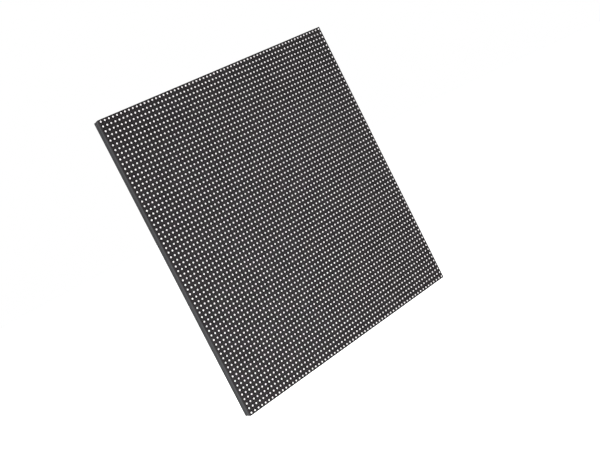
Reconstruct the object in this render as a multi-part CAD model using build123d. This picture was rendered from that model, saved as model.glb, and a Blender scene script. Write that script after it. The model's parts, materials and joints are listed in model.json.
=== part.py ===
from build123d import *
import os

# RGB LED matrix panel, millimetres.
# X runs to the right seen from the front, the LEDs face -Y, Z is up.
# The origin is the middle of the rear mounting plane.

# Pixels, and the outline that they give the panel
pixel_pitch = 3.0
pixels_per_side = 64
tiling_gap = 0.2
panel_side = pixel_pitch * pixels_per_side - tiling_gap
half_panel = panel_side / 2
last_pixel = pixel_pitch * (pixels_per_side - 1) / 2

# Front mask: a thin face with a rim, standing on the board
mask_depth = 1.2
mask_face = 0.4
mask_rim = 0.25
dot_size = 1.4
mask_pin_diameter = 1.0
mask_pin_sides = 8
mask_pin_reach = 0.5
mask_pin_from_edge = 2

# LEDs, one bar for each column of packages
led_mask_gap = 0.1
led_height = mask_depth - mask_face - led_mask_gap

# Circuit board
board_thickness = 1.6
board_inset = 0.1

# Rear frame: floor plate, border channel, and members that cross between nine windows
frame_depth = 11.8
frame_floor = 1.8
frame_inset = 0.3
frame_wall = 1.6
edge_lip_width = 1.4
edge_lip_height = 1.1
border_step = 7.3
border_corner = 4.0
border_chamfer = 0.5
hole_inset = 15.9
member_pixels = 8
member_width = 8.0
member_drop = 1.2
window_corner = 2.5
rib_pixels = 6
rib_width = 1.2
rib_drop = 3.0
gusset_reach = 5.0
gusset_height = 6.0
gusset_width = 1.0
fuse_overlap = 0.4

# Fasteners and locating pegs
insert_diameter = 4.2
insert_bore = 2.5
insert_length = 5.0
insert_boss_diameter = 8.4
peg_diameter = 3.0
peg_length = 2.4
peg_chamfer = 0.5
peg_boss_diameter = 7.0
nut_diameter = 4.6
nut_sides = 6
nut_height = 3.0
thread_diameter = 2.2
thread_sides = 8
thread_clearance = 0.02
screw_boss_height = 5.2
screw_boss_wall = 1.2
screw_length = 5.0
screw_head_diameter = 4.5
screw_head_height = 1.6
screw_hole_diameter = 2.9
piece_clearance = 0.1

# Data headers: a keyed shroud over two rows of bent pins
data_pins_per_row = 8
data_pin_pitch = 2.54
data_pin_side = 0.64
data_foot_thickness = 0.4
data_foot_reach = 6.05
data_pin_height = 7.8
shroud_width = 8.9
shroud_height = 9.0
shroud_wall = 1.1
shroud_end_room = 4.0
shroud_floor = 2.2
shroud_lift = 0.7
shroud_key_width = 4.5
shroud_foot_length = 1.6
data_header_from_edge = 35.9
pin_fit = 0.02
pin_point_share = 0.25

# Power header: a housing with one high latch wall
power_pin_count = 4
power_pin_pitch = 3.96
power_pin_side = 1.14
power_foot_thickness = 0.6
power_foot_reach = 6.6
power_pin_height = 8.9
power_end_room = 1.97
power_width = 8.5
power_base = 3.2
power_lift = 0.9
power_wall = 1.2
power_wall_height = 9.4
power_latch_width = 3.0
power_foot_length = 1.2
power_pin_offset = 0.6

# Chips, as body width, body length and body height
column_driver_body = (3.9, 8.65, 1.5)
row_driver_body = (9.9, 3.9, 1.5)
buffer_body = (7.5, 12.8, 2.35)
chip_draft = 6.0
drivers_per_window = 4
driver_spacing = 10.0
row_driver_offset = (12.0, 12.5)
buffer_offset = (8.2, 9.0)
centre_buffer_z = 12.2

# Capacitors and resistors
can_diameter = 6.3
can_height = 4.2
can_base_side = 6.6
can_base_height = 1.2
can_base_chamfer = 1.2
can_from_window = 4.3
can_from_centre = 13.0
bypass_body = (0.8, 1.6, 0.8)
resistor_body = (1.6, 0.8, 0.5)
small_part_gap = 2.6

# Depth levels, from the front to the mounting plane at zero
mount_plane = 0.0
board_rear = mount_plane - frame_depth
board_front = board_rear - board_thickness
mask_front = board_front - mask_depth
floor_rear = board_rear + frame_floor
boss_seat = board_rear + screw_boss_height

# Places in the X-Z plane that several pieces share
border_half = half_panel - border_step
hole_half = half_panel - hole_inset
window_edge = 2 * hole_half - border_half
member_at = member_pixels * pixel_pitch
member_half = member_width / 2
pin_half = pixel_pitch * (pixels_per_side // 2 - mask_pin_from_edge)
mask_hole_diameter = mask_pin_diameter + 2 * piece_clearance
nut_hole_diameter = nut_diameter + 2 * piece_clearance
window_spans = [
    (-window_edge, -member_at - member_half),
    (-member_at + member_half, member_at - member_half),
    (member_at + member_half, window_edge),
]
mask_pin_places = [(x, z) for x in (-pin_half, 0, pin_half) for z in (-pin_half, 0, pin_half) if x or z]
insert_places = [(x, z) for x in (-hole_half, hole_half) for z in (-hole_half, hole_half)]
screw_places = [(x, z) for x in (-member_at, member_at) for z in (-member_at, member_at)]
peg_places = [(0, -hole_half), (0, hole_half)]
rib_spacing = rib_pixels * pixel_pitch
rib_steps = int(window_edge // rib_spacing)
rib_places = [step * rib_spacing for step in range(-rib_steps, rib_steps + 1)]


def slab(outline, y_front, y_rear):
    """Solid between two depths, from an outline drawn in the X-Z plane."""
    return extrude(Plane.XZ.offset(-y_rear) * outline, amount=y_rear - y_front)


def square(side):
    """Square outline about the panel's middle."""
    return Rectangle(side, side)


def round_bars(places, diameter, y_front, y_rear):
    """Equal round bars between two depths, one at each place."""
    return [slab(Pos(x, z) * Circle(diameter / 2), y_front, y_rear) for x, z in places]


def sided_bars(places, diameter, sides, y_front, y_rear):
    """Equal bars with flat sides between two depths, measured over their corners."""
    return [slab(Pos(x, z) * RegularPolygon(diameter / 2, sides), y_front, y_rear) for x, z in places]


def at_board(piece, x, z):
    """Puts a piece that was drawn on the origin on the rear of the board."""
    return Pos(x, board_rear, z) * piece


def led_mask():
    """Front mask: one slot for each row of LEDs, a rim, and short pins that seat in the board."""
    rows = [row * pixel_pitch - last_pixel for row in range(pixels_per_side)]
    slot = Rectangle(2 * last_pixel + dot_size, dot_size)
    face = square(panel_side) - [Pos(0, z) * slot for z in rows]
    mask = slab(face, mask_front, mask_front + mask_face)
    mask += slab(square(panel_side) - square(panel_side - 2 * mask_rim), mask_front + mask_face, board_front)
    pin_end = board_front + mask_pin_reach
    pins = sided_bars(mask_pin_places, mask_pin_diameter, mask_pin_sides, mask_front + mask_face, pin_end)
    return mask + pins


def led_columns():
    """Bars on the board's front, one for each column, which show as a dot in every slot of the mask."""
    columns = [column * pixel_pitch - last_pixel for column in range(pixels_per_side)]
    bar = Rectangle(dot_size, 2 * last_pixel + dot_size)
    return [slab(Pos(x, 0) * bar, board_front - led_height, board_front) for x in columns]


def circuit_board():
    """Square board, cut for the mask's pins."""
    board = slab(square(panel_side - 2 * board_inset), board_front, board_rear)
    return board - sided_bars(mask_pin_places, mask_hole_diameter, mask_pin_sides, board_front, board_rear)


def window_outline(x_span, z_span):
    """Outline of one frame window, with its corners clipped."""
    outline = Rectangle(x_span[1] - x_span[0], z_span[1] - z_span[0])
    return Pos(sum(x_span) / 2, sum(z_span) / 2) * chamfer(outline.vertices(), window_corner)


def window_rim(x_span, z_span):
    """Outline of the wall round one frame window, square outside where the channel hides it."""
    width = x_span[1] - x_span[0] + 2 * frame_wall
    height = z_span[1] - z_span[0] + 2 * frame_wall
    return Pos(sum(x_span) / 2, sum(z_span) / 2) * Rectangle(width, height) - window_outline(x_span, z_span)


def border_ribs():
    """Outlines of the cross ribs in the border channel, on all four sides."""
    reach = 2 * (border_half - hole_half) - 2 * frame_wall + 2 * fuse_overlap
    upright = Rectangle(rib_width, reach)
    level = Rectangle(reach, rib_width)
    ribs = [Pos(place, side) * upright for place in rib_places for side in (-hole_half, hole_half)]
    ribs += [Pos(side, place) * level for place in rib_places for side in (-hole_half, hole_half)]
    return ribs


def member_ribs():
    """Outlines of the cross ribs in the members between the windows."""
    reach = member_width - 2 * frame_wall + 2 * fuse_overlap
    middles = [sum(span) / 2 for span in window_spans]
    level = Rectangle(reach, rib_width)
    upright = Rectangle(rib_width, reach)
    ribs = [Pos(side, place) * level for side in (-member_at, member_at) for place in middles]
    ribs += [Pos(place, side) * upright for side in (-member_at, member_at) for place in middles]
    return ribs


def border_gussets():
    """Three-cornered stays between the border wall and the flange outside it."""
    foot = (border_half - fuse_overlap, floor_rear - fuse_overlap)
    toe = (border_half + gusset_reach, floor_rear - fuse_overlap)
    edge = (border_half + gusset_reach, floor_rear)
    top = (border_half, floor_rear + gusset_height)
    peak = (border_half - fuse_overlap, floor_rear + gusset_height)
    outline = make_face(Polyline(foot, toe, edge, top, peak, close=True))
    stay = extrude(outline, amount=gusset_width / 2, both=True)
    row = [Pos(0, 0, place) * stay for place in rib_places]
    return [Rot(0, turn, 0) * one for turn in (0, 90, 180, 270) for one in row]


def rear_frame():
    """Moulded frame: floor with a lip round it, border channel, crossing members, ribs, bosses and pegs."""
    spans = [(x_span, z_span) for x_span in window_spans for z_span in window_spans]
    windows = [window_outline(x_span, z_span) for x_span, z_span in spans]
    frame_side = panel_side - 2 * frame_inset
    frame = slab(square(frame_side) - windows, board_rear, floor_rear)
    lip = square(frame_side) - square(frame_side - 2 * edge_lip_width)
    frame += slab(lip, floor_rear, floor_rear + edge_lip_height)

    border = RectangleRounded(2 * border_half, 2 * border_half, border_corner)
    inner = 2 * (border_half - frame_wall)
    ring = border - RectangleRounded(inner, inner, border_corner - frame_wall)
    wall = slab(ring, floor_rear, mount_plane)
    rear_edges = wall.faces().sort_by(Axis.Y)[-1].outer_wire().edges()
    frame += chamfer(rear_edges, border_chamfer)

    rims = [window_rim(x_span, z_span) for x_span, z_span in spans]
    frame += [slab(rim, floor_rear, mount_plane - member_drop) for rim in rims]
    frame += [slab(rib, floor_rear, mount_plane - rib_drop) for rib in border_ribs() + member_ribs()]
    frame += border_gussets()

    frame += round_bars(insert_places, insert_boss_diameter, floor_rear, mount_plane)
    frame += round_bars(peg_places, peg_boss_diameter, floor_rear, mount_plane)
    pegs = round_bars(peg_places, peg_diameter, mount_plane, mount_plane + peg_length)
    frame += [chamfer(peg.faces().sort_by(Axis.Y)[-1].edges(), peg_chamfer) for peg in pegs]
    frame += round_bars(screw_places, nut_hole_diameter + 2 * screw_boss_wall, floor_rear, boss_seat)

    nut_room = board_rear + nut_height + piece_clearance
    frame -= round_bars(insert_places, insert_diameter, mount_plane - insert_length, mount_plane)
    frame -= sided_bars(screw_places, nut_hole_diameter, nut_sides, board_rear, nut_room)
    return frame - sided_bars(screw_places, screw_hole_diameter, thread_sides, nut_room, boss_seat)


def threaded_inserts():
    """Brass inserts, flush with the mounting plane."""
    outer = round_bars(insert_places, insert_diameter, mount_plane - insert_length, mount_plane)
    bores = round_bars(insert_places, insert_bore, mount_plane - insert_length, mount_plane)
    return [body - bore for body, bore in zip(outer, bores)]


def board_nuts():
    """Nuts soldered to the rear of the board, for the frame's screws."""
    bore = thread_diameter + 2 * thread_clearance
    nut_rear = board_rear + nut_height
    outer = sided_bars(screw_places, nut_diameter, nut_sides, board_rear, nut_rear)
    bores = sided_bars(screw_places, bore, thread_sides, board_rear, nut_rear)
    return [body - hole for body, hole in zip(outer, bores)]


def frame_screws():
    """Flat-ended screws on the seats of the frame's bosses."""
    heads = round_bars(screw_places, screw_head_diameter, boss_seat, boss_seat + screw_head_height)
    shanks = sided_bars(screw_places, thread_diameter, thread_sides, boss_seat - screw_length, boss_seat)
    return [head + shank for head, shank in zip(heads, shanks)]


def data_pin_places():
    """Both rows of pins in a data header, as side and place along it."""
    first = -data_pin_pitch * (data_pins_per_row - 1) / 2
    return [(side, first + pin * data_pin_pitch) for side in (-1, 1) for pin in range(data_pins_per_row)]


def data_shroud():
    """Box shroud with a key slot, pin holes and a foot at each end."""
    inner_length = data_pin_pitch * (data_pins_per_row - 1) + 2 * shroud_end_room
    outer_length = inner_length + 2 * shroud_wall
    floor_top = shroud_lift + shroud_floor
    shroud = slab(Rectangle(shroud_width, outer_length), shroud_lift, shroud_height)
    shroud -= slab(Rectangle(shroud_width - 2 * shroud_wall, inner_length), floor_top, shroud_height)
    key_slot = Pos(shroud_width / 2, 0) * Rectangle(2 * shroud_wall, shroud_key_width)
    shroud -= slab(key_slot, floor_top, shroud_height)
    end = (outer_length - shroud_foot_length) / 2
    foot = Rectangle(shroud_width, shroud_foot_length)
    shroud += [slab(Pos(0, place) * foot, 0, shroud_lift) for place in (-end, end)]
    hole = Rectangle(data_pin_side + 2 * pin_fit, data_pin_side + 2 * pin_fit)
    places = [(side * data_pin_pitch / 2, place) for side, place in data_pin_places()]
    return shroud - [slab(Pos(x, z) * hole, shroud_lift, floor_top) for x, z in places]


def bent_pin(centre, side, height, foot_reach, foot_thickness):
    """Square pin with a blunted point, that turns outwards along the board into a solder foot."""
    near = centre - side / 2
    far = centre + side / 2
    outline = Polyline(
        (near, 0),
        (foot_reach, 0),
        (foot_reach, foot_thickness),
        (far, foot_thickness),
        (far, height),
        (near, height),
        close=True,
    )
    pin = extrude(make_face(outline), amount=side / 2, both=True)
    tip = pin.faces().sort_by(Axis.Y)[-1]
    return chamfer(tip.edges(), side * pin_point_share)


def data_pins():
    """Two rows of pins, with their feet out to both sides."""
    pin = bent_pin(data_pin_pitch / 2, data_pin_side, data_pin_height, data_foot_reach, data_foot_thickness)
    turned = {1: pin, -1: Rot(0, 180, 0) * pin}
    return [Pos(0, 0, place) * turned[side] for side, place in data_pin_places()]


def power_pin_places():
    """Places of the power pins along the header."""
    first = -power_pin_pitch * (power_pin_count - 1) / 2
    return [first + pin * power_pin_pitch for pin in range(power_pin_count)]


def power_header():
    """Housing with a base, a high latch wall along one side and a foot at each end."""
    length = power_pin_pitch * (power_pin_count - 1) + 2 * power_end_room
    base_top = power_lift + power_base
    housing = slab(Rectangle(length, power_width), power_lift, base_top)
    wall = Pos(0, (power_width - power_wall) / 2) * Rectangle(length, power_wall)
    housing += slab(wall, base_top, power_wall_height)
    latch = Pos(0, power_width / 2) * Rectangle(power_latch_width, 2 * power_wall)
    latches = [Pos(place, 0) * latch for place in (-power_pin_pitch, power_pin_pitch)]
    housing -= [slab(slot, base_top, power_wall_height - power_wall) for slot in latches]
    end = (length - power_foot_length) / 2
    foot = Rectangle(power_foot_length, power_width)
    housing += [slab(Pos(place, 0) * foot, 0, power_lift) for place in (-end, end)]
    side = power_pin_side + 2 * pin_fit
    hole = Pos(0, -power_pin_offset) * Rectangle(side, side)
    return housing - [slab(Pos(place, 0) * hole, power_lift, base_top) for place in power_pin_places()]


def power_pins():
    """Four stout pins with their feet to the side away from the latch wall."""
    pin = bent_pin(power_pin_offset, power_pin_side, power_pin_height, power_foot_reach, power_foot_thickness)
    return [Pos(place, 0, 0) * Rot(0, 90, 0) * pin for place in power_pin_places()]


def chip(body):
    """Moulded chip body, drafted away from its parting line at half height."""
    width, length, height = body
    outline = Plane.XZ.offset(-height / 2) * Rectangle(width, length)
    return extrude(outline, amount=height / 2, both=True, taper=chip_draft)


def capacitor_base():
    """Square base with two clipped corners."""
    outline = square(can_base_side)
    outline = chamfer(outline.vertices().group_by(Axis.X)[-1], can_base_chamfer)
    return slab(outline, 0, can_base_height)


def capacitor_can():
    """Round can standing on its base."""
    return slab(Circle(can_diameter / 2), can_base_height, can_base_height + can_height)


def column_driver_places():
    """Four drivers side by side in each of the upper and lower windows."""
    middles = [sum(span) / 2 for span in window_spans]
    first = -driver_spacing * (drivers_per_window - 1) / 2
    offsets = [first + step * driver_spacing for step in range(drivers_per_window)]
    return [(x + offset, z) for z in (middles[2], middles[0]) for x in middles for offset in offsets]


def small_parts(body, side):
    """One small part beyond the end of each column driver, above or below it."""
    width, length, height = body
    reach = column_driver_body[1] / 2 + small_part_gap
    outline = Rectangle(width, length)
    piece = slab(outline, 0, height)
    return [at_board(piece, x, z + side * reach) for x, z in column_driver_places()]


def build():
    """Every node of the panel by name, each with its solids in place."""
    header_at = half_panel - data_header_from_edge
    side_window = sum(window_spans[2]) / 2
    can_at = member_at + member_half + can_from_window
    row_x, row_z = row_driver_offset
    buffer_x, buffer_z = buffer_offset
    row_driver_places = [(-row_x, row_z), (row_x, row_z)]
    row_driver_places += [(side_window - buffer_x, -buffer_z), (side_window - buffer_x, buffer_z)]
    buffer_places = [(buffer_x - side_window, -buffer_z), (buffer_x - side_window, buffer_z)]
    buffer_places += [(0, centre_buffer_z)]
    can_places = [(-can_at, 0), (can_at, 0)]
    can_places += [(x, -can_from_centre) for x in (-can_from_centre, 0, can_from_centre)]

    nodes = {
        "led_mask": led_mask(),
        "led_columns": led_columns(),
        "circuit_board": circuit_board(),
        "rear_frame": rear_frame(),
        "threaded_inserts": threaded_inserts(),
        "board_nuts": board_nuts(),
        "frame_screws": frame_screws(),
        "data_in_shroud": at_board(data_shroud(), -header_at, 0),
        "data_in_pins": [at_board(pin, -header_at, 0) for pin in data_pins()],
        "data_out_shroud": at_board(data_shroud(), header_at, 0),
        "data_out_pins": [at_board(pin, header_at, 0) for pin in data_pins()],
        "power_header": at_board(power_header(), 0, 0),
        "power_pins": [at_board(pin, 0, 0) for pin in power_pins()],
        "bypass_capacitors": small_parts(bypass_body, 1),
        "current_resistors": small_parts(resistor_body, -1),
    }
    for number, (x, z) in enumerate(column_driver_places(), 1):
        nodes[f"column_driver_{number:02d}"] = at_board(chip(column_driver_body), x, z)
    for number, (x, z) in enumerate(row_driver_places, 1):
        nodes[f"row_driver_{number}"] = at_board(chip(row_driver_body), x, z)
    for number, (x, z) in enumerate(buffer_places, 1):
        nodes[f"signal_buffer_{number}"] = at_board(chip(buffer_body), x, z)
    for number, (x, z) in enumerate(can_places, 1):
        nodes[f"capacitor_base_{number}"] = at_board(capacitor_base(), x, z)
        nodes[f"capacitor_can_{number}"] = at_board(capacitor_can(), x, z)
    return nodes


os.makedirs("parts", exist_ok=True)
for name, shape in build().items():
    pieces = shape if isinstance(shape, list) else [shape]
    solids = [solid for piece in pieces for solid in piece.solids()]
    export_step(solids[0] if len(solids) == 1 else Compound(solids), f"parts/{name}.step")
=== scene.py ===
import json
import math

import bpy
from mathutils import Matrix, Vector


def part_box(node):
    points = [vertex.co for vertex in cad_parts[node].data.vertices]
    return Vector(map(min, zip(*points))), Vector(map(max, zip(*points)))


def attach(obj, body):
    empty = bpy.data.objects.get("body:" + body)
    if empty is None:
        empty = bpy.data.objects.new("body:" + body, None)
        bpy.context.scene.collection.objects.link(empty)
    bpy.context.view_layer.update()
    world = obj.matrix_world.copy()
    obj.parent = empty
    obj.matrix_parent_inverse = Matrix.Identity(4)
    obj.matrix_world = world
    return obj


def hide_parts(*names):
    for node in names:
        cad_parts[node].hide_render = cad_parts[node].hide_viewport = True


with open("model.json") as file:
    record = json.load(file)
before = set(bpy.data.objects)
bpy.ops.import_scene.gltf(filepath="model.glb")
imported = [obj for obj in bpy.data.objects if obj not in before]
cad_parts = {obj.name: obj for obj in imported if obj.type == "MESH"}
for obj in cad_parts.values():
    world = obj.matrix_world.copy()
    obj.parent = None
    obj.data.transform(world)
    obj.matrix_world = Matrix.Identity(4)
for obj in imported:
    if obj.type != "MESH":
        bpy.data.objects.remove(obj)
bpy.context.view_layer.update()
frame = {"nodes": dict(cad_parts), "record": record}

# Sizes of the real pieces, in metres
MM = 0.001
PIXEL_PITCH = 3.0 * MM
PIXELS = 64
WINDOW_SIDE = 2.3 * MM
MASK_FACE = 0.4 * MM
MASK_RIM = 0.25 * MM
MASK_PIN_FROM_MIDDLE = 90 * MM
PACKAGE_SIDE = 2.1 * MM
PACKAGE_HEIGHT = 1.12 * MM
CUP_WIDTH = 1.19 * MM
CUP_DEPTH = 0.06 * MM
DIE_SIDE = 0.17 * MM
DIE_STEP = 0.3 * MM
FINE_PITCH = 0.635 * MM
WIDE_PITCH = 1.27 * MM
LEAD_REACH = 1.05 * MM
LEAD_IN_BODY = 0.15 * MM
LEAD_PAD = 0.9 * MM
LEAD_PAD_FROM_TIP = 0.3 * MM
SCREW_HEAD_HEIGHT = 1.6 * MM
THREAD_INSET = 0.1 * MM
TINNED_END = 0.3 * MM
SMALL_PAD_PAST_ENDS = 0.5 * MM
DATA_PAD = 1.6 * MM
DATA_SOLDER_PAST_PAD = 0.6 * MM
POWER_PAD = 1.8 * MM
POWER_SOLDER_PAST_PAD = 0.8 * MM
TAB_FROM_BASE = 0.3 * MM
PAD_THICKNESS = 0.04 * MM
PRINT_LINE = 0.15 * MM
PRINT_THICKNESS = 0.02 * MM
PRINT_ROOM = 0.8 * MM
MARK_FROM_EDGE = 0.8 * MM
MARK_HEIGHT = 0.03 * MM
ARROW_FROM_MIDDLE = 17.5 * MM
ARROW_FROM_HEADER = 7.5 * MM

# Where the sawn edge of the board starts, from the panel's middle
BARE_EDGE_FROM = 95.79 * MM

# Lengths for the modelling only: the gap that is welded shut, the depth of a cutter, and one past every piece
WELD_GAP = 0.001 * MM
CUTTER_DEPTH = 1.0 * MM
FAR = 1.0

# Handles that bend a chip lead, as a share of its reach, and its solder pad, as a share of its width
LEAD_BEND = 0.62
PAD_TO_LEAD = 1.4

# Shares of a solder pad that its dome covers
DOME_ALONG = 0.86
DOME_ACROSS = 0.9

# Flat end of a can and the edge of its dark mark, in radii from its middle
CAN_FLAT = 0.86
CAN_MARK_FROM_MIDDLE = 0.3

# Where the shaft of an arrow ends, in head radii from the tip
SHAFT_FROM_TIP = 1.2

# Sizes of the patterns in the materials, in millimetres
TRACK_STEP = 0.9
TRACK_AREA = 11.0
TRACK_RELIEF = 0.03
GLASS_LAYER = 0.2
VIA_SPACING = 4.5
VIA_LAND = 0.36
VIA_HOLE = 0.16
TOOL_RING = 0.15
TOOL_RING_RELIEF = 0.02
BRASS_PATCH = 0.8
DRAWN_LINE = 0.25
DRAWN_LINE_RELIEF = 0.004
REFLECTOR_PATCH = 1.2

# How far rings and layers wander from straight
RING_WANDER = 1.5
LAYER_WANDER = 0.6

# Heights of a band between which a track fades out, and the share of areas whose tracks run upright
TRACK_FADE_FROM = 0.55
TRACK_FADE_TO = 0.7
UPRIGHT_SHARE = 0.5

# Scale along the can of the lines that drawing leaves
DRAWN_STRETCH = 0.06

# Range that noise mostly stays in, and how much fine detail it has
NOISE_LOW = 0.35
NOISE_HIGH = 0.65
PATCH_DETAIL = 3.0
GRAIN_DETAIL = 2.0
REFLECTOR_DETAIL = 1.0

# Rays that soften an edge in the shading
EDGE_SAMPLES = 6

# Width of a band of a wave texture at a scale of 1
WAVE_BAND = math.tau / 20

# Frame of the photograph, and the camera that it was taken from
PHOTO_WIDTH = 600
FOCAL_PIXELS = 1102.0
SENSOR_WIDTH = 36.0
CAMERA_PLACE = Vector((-0.43974, -0.5511, 0.0384))
CAMERA_RIGHT = Vector((0.66678, -0.59337, -0.45091))
CAMERA_UP = Vector((0.39184, -0.23553, 0.88937))
CLIP_START = 0.01
CLIP_END = 100

# Node kinds
MATH = "ShaderNodeMath"
VECTOR_MATH = "ShaderNodeVectorMath"
COMBINE = "ShaderNodeCombineXYZ"
SEPARATE = "ShaderNodeSeparateXYZ"
NOISE = "ShaderNodeTexNoise"
WAVE = "ShaderNodeTexWave"
CELLS = "ShaderNodeTexVoronoi"
RANGE = "ShaderNodeMapRange"
BUMP = "ShaderNodeBump"
MIX = "ShaderNodeMix"
GRID = "GeometryNodeMeshGrid"
CUBE = "GeometryNodeMeshCube"
CYLINDER = "GeometryNodeMeshCylinder"
EXTRUDE = "GeometryNodeExtrudeMesh"
BOOLEAN = "GeometryNodeMeshBoolean"
SWEEP = "GeometryNodeCurveToMesh"
MOVE = "GeometryNodeTransform"
JOIN = "GeometryNodeJoinGeometry"
COPIES = "GeometryNodeInstanceOnPoints"
REALIZE = "GeometryNodeRealizeInstances"
PAINT = "GeometryNodeSetMaterial"

# Sockets of a Mix node, whose names repeat
BLEND = 0
FIRST_VALUE = 2
SECOND_VALUE = 3
FIRST_COLOUR = 6
SECOND_COLOUR = 7

# Places and turns
ORIGIN = (0.0, 0.0, 0.0)
UNTURNED = (0.0, 0.0, 0.0)
QUARTER_TURN = math.pi / 2
DEPTHWAYS = (QUARTER_TURN, 0.0, 0.0)
LEVEL_TURN = (0.0, QUARTER_TURN, 0.0)
HALF_TURN = (0.0, math.pi, 0.0)


def to_linear(colour):
    """Linear colour of an sRGB hex value."""
    parts = [int(colour[place : place + 2], 16) / 255 for place in (1, 3, 5)]
    linear = [part / 12.92 if part <= 0.04045 else ((part + 0.055) / 1.055) ** 2.4 for part in parts]
    return (*linear, 1.0)


def per_metre(size_mm):
    """Texture scale that repeats once in a size in millimetres."""
    return 1000 / size_mm


def band_scale(size_mm):
    """Wave texture scale whose bands repeat once in a size in millimetres."""
    return per_metre(size_mm) * WAVE_BAND


def add(tree, kind, inputs=None, **settings):
    """Adds a node with its settings and its inputs, as values or links. Returns its first output in use."""
    node = tree.nodes.new(kind)
    for name, value in settings.items():
        setattr(node, name, value)
    for socket, value in (inputs or {}).items():
        # A socket that takes several links puts the newest first
        for one in reversed(value if isinstance(value, list) else [value]):
            if isinstance(one, bpy.types.NodeSocket):
                tree.links.new(one, node.inputs[socket])
            else:
                node.inputs[socket].default_value = one
    return next(output for output in node.outputs if output.enabled)


def new_finish(name, roughness, metallic=0.0, specular=0.5):
    """A material with a plain shader. Returns it with its tree, its shader and its object coordinates."""
    material = bpy.data.materials.new(name)
    material.use_nodes = True
    tree = material.node_tree
    shader = tree.nodes["Principled BSDF"]
    shader.inputs["Roughness"].default_value = roughness
    shader.inputs["Metallic"].default_value = metallic
    shader.inputs["Specular IOR Level"].default_value = specular
    place = add(tree, "ShaderNodeTexCoord").node.outputs["Object"]
    return material, tree, shader, place


def mottled(tree, place, patch, first, second, detail=PATCH_DETAIL):
    """Two near colours in soft patches of a size in millimetres."""
    patches = add(tree, NOISE, {"Vector": place, "Scale": per_metre(patch), "Detail": detail})
    spread = add(tree, RANGE, {"Value": patches, "From Min": NOISE_LOW, "From Max": NOISE_HIGH})
    colours = {BLEND: spread, FIRST_COLOUR: to_linear(first), SECOND_COLOUR: to_linear(second)}
    return add(tree, MIX, colours, data_type="RGBA")


def grained(tree, shader, place, size, relief, roughness, edge=0.0):
    """Fine grain in low relief over softened edges, which breaks up the gloss. Sizes are in millimetres."""
    grain = add(tree, NOISE, {"Vector": place, "Scale": per_metre(size), "Detail": GRAIN_DETAIL})
    low, high = roughness
    span = {"Value": grain, "From Min": NOISE_LOW, "From Max": NOISE_HIGH, "To Min": low, "To Max": high}
    tree.links.new(add(tree, RANGE, span), shader.inputs["Roughness"])
    bump = {"Height": grain, "Distance": relief * MM, "Strength": 1.0}
    if edge:
        bump["Normal"] = add(tree, "ShaderNodeBevel", {"Radius": edge * MM}, samples=EDGE_SAMPLES)
    tree.links.new(add(tree, BUMP, bump), shader.inputs["Normal"])


def surface(name, first, second, patch, roughness, grain, relief, edge=0.0, metallic=0.0, specular=0.5):
    """Moulded or plated surface: patches of two near colours, under a fine grain with a range of roughness.

    The sizes of the patches and the grain, the relief and the soft edge are in millimetres.
    """
    material, tree, shader, place = new_finish(name, sum(roughness) / 2, metallic, specular)
    tree.links.new(mottled(tree, place, patch, first, second), shader.inputs["Base Color"])
    grained(tree, shader, place, grain, relief, roughness, edge)
    return material


def turned_brass():
    """Turned brass: warm yellow metal with fine rings round the depth axis, left by the tool."""
    material, tree, shader, place = new_finish("turned_brass", roughness=0.3, metallic=1.0)
    bands = {"Vector": place, "Scale": band_scale(TOOL_RING), "Distortion": RING_WANDER}
    rings = add(tree, WAVE, bands, bands_direction="Y")
    tree.links.new(mottled(tree, place, BRASS_PATCH, "#c9a862", "#b08f4e"), shader.inputs["Base Color"])
    bump = add(tree, BUMP, {"Height": rings, "Distance": TOOL_RING_RELIEF * MM})
    tree.links.new(bump, shader.inputs["Normal"])
    return material


def drawn_aluminium():
    """Drawn aluminium: pale grey and satin, with faint lines along the can, left by the drawing die."""
    material, tree, shader, place = new_finish("drawn_aluminium_can", roughness=0.42, metallic=1.0)
    along = add(tree, "ShaderNodeMapping", {"Vector": place, "Scale": (1.0, DRAWN_STRETCH, 1.0)})
    tree.links.new(mottled(tree, along, DRAWN_LINE, "#c3c5c8", "#e2e3e5"), shader.inputs["Base Color"])
    grained(tree, shader, along, DRAWN_LINE, DRAWN_LINE_RELIEF, roughness=(0.36, 0.5))
    return material


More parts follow.
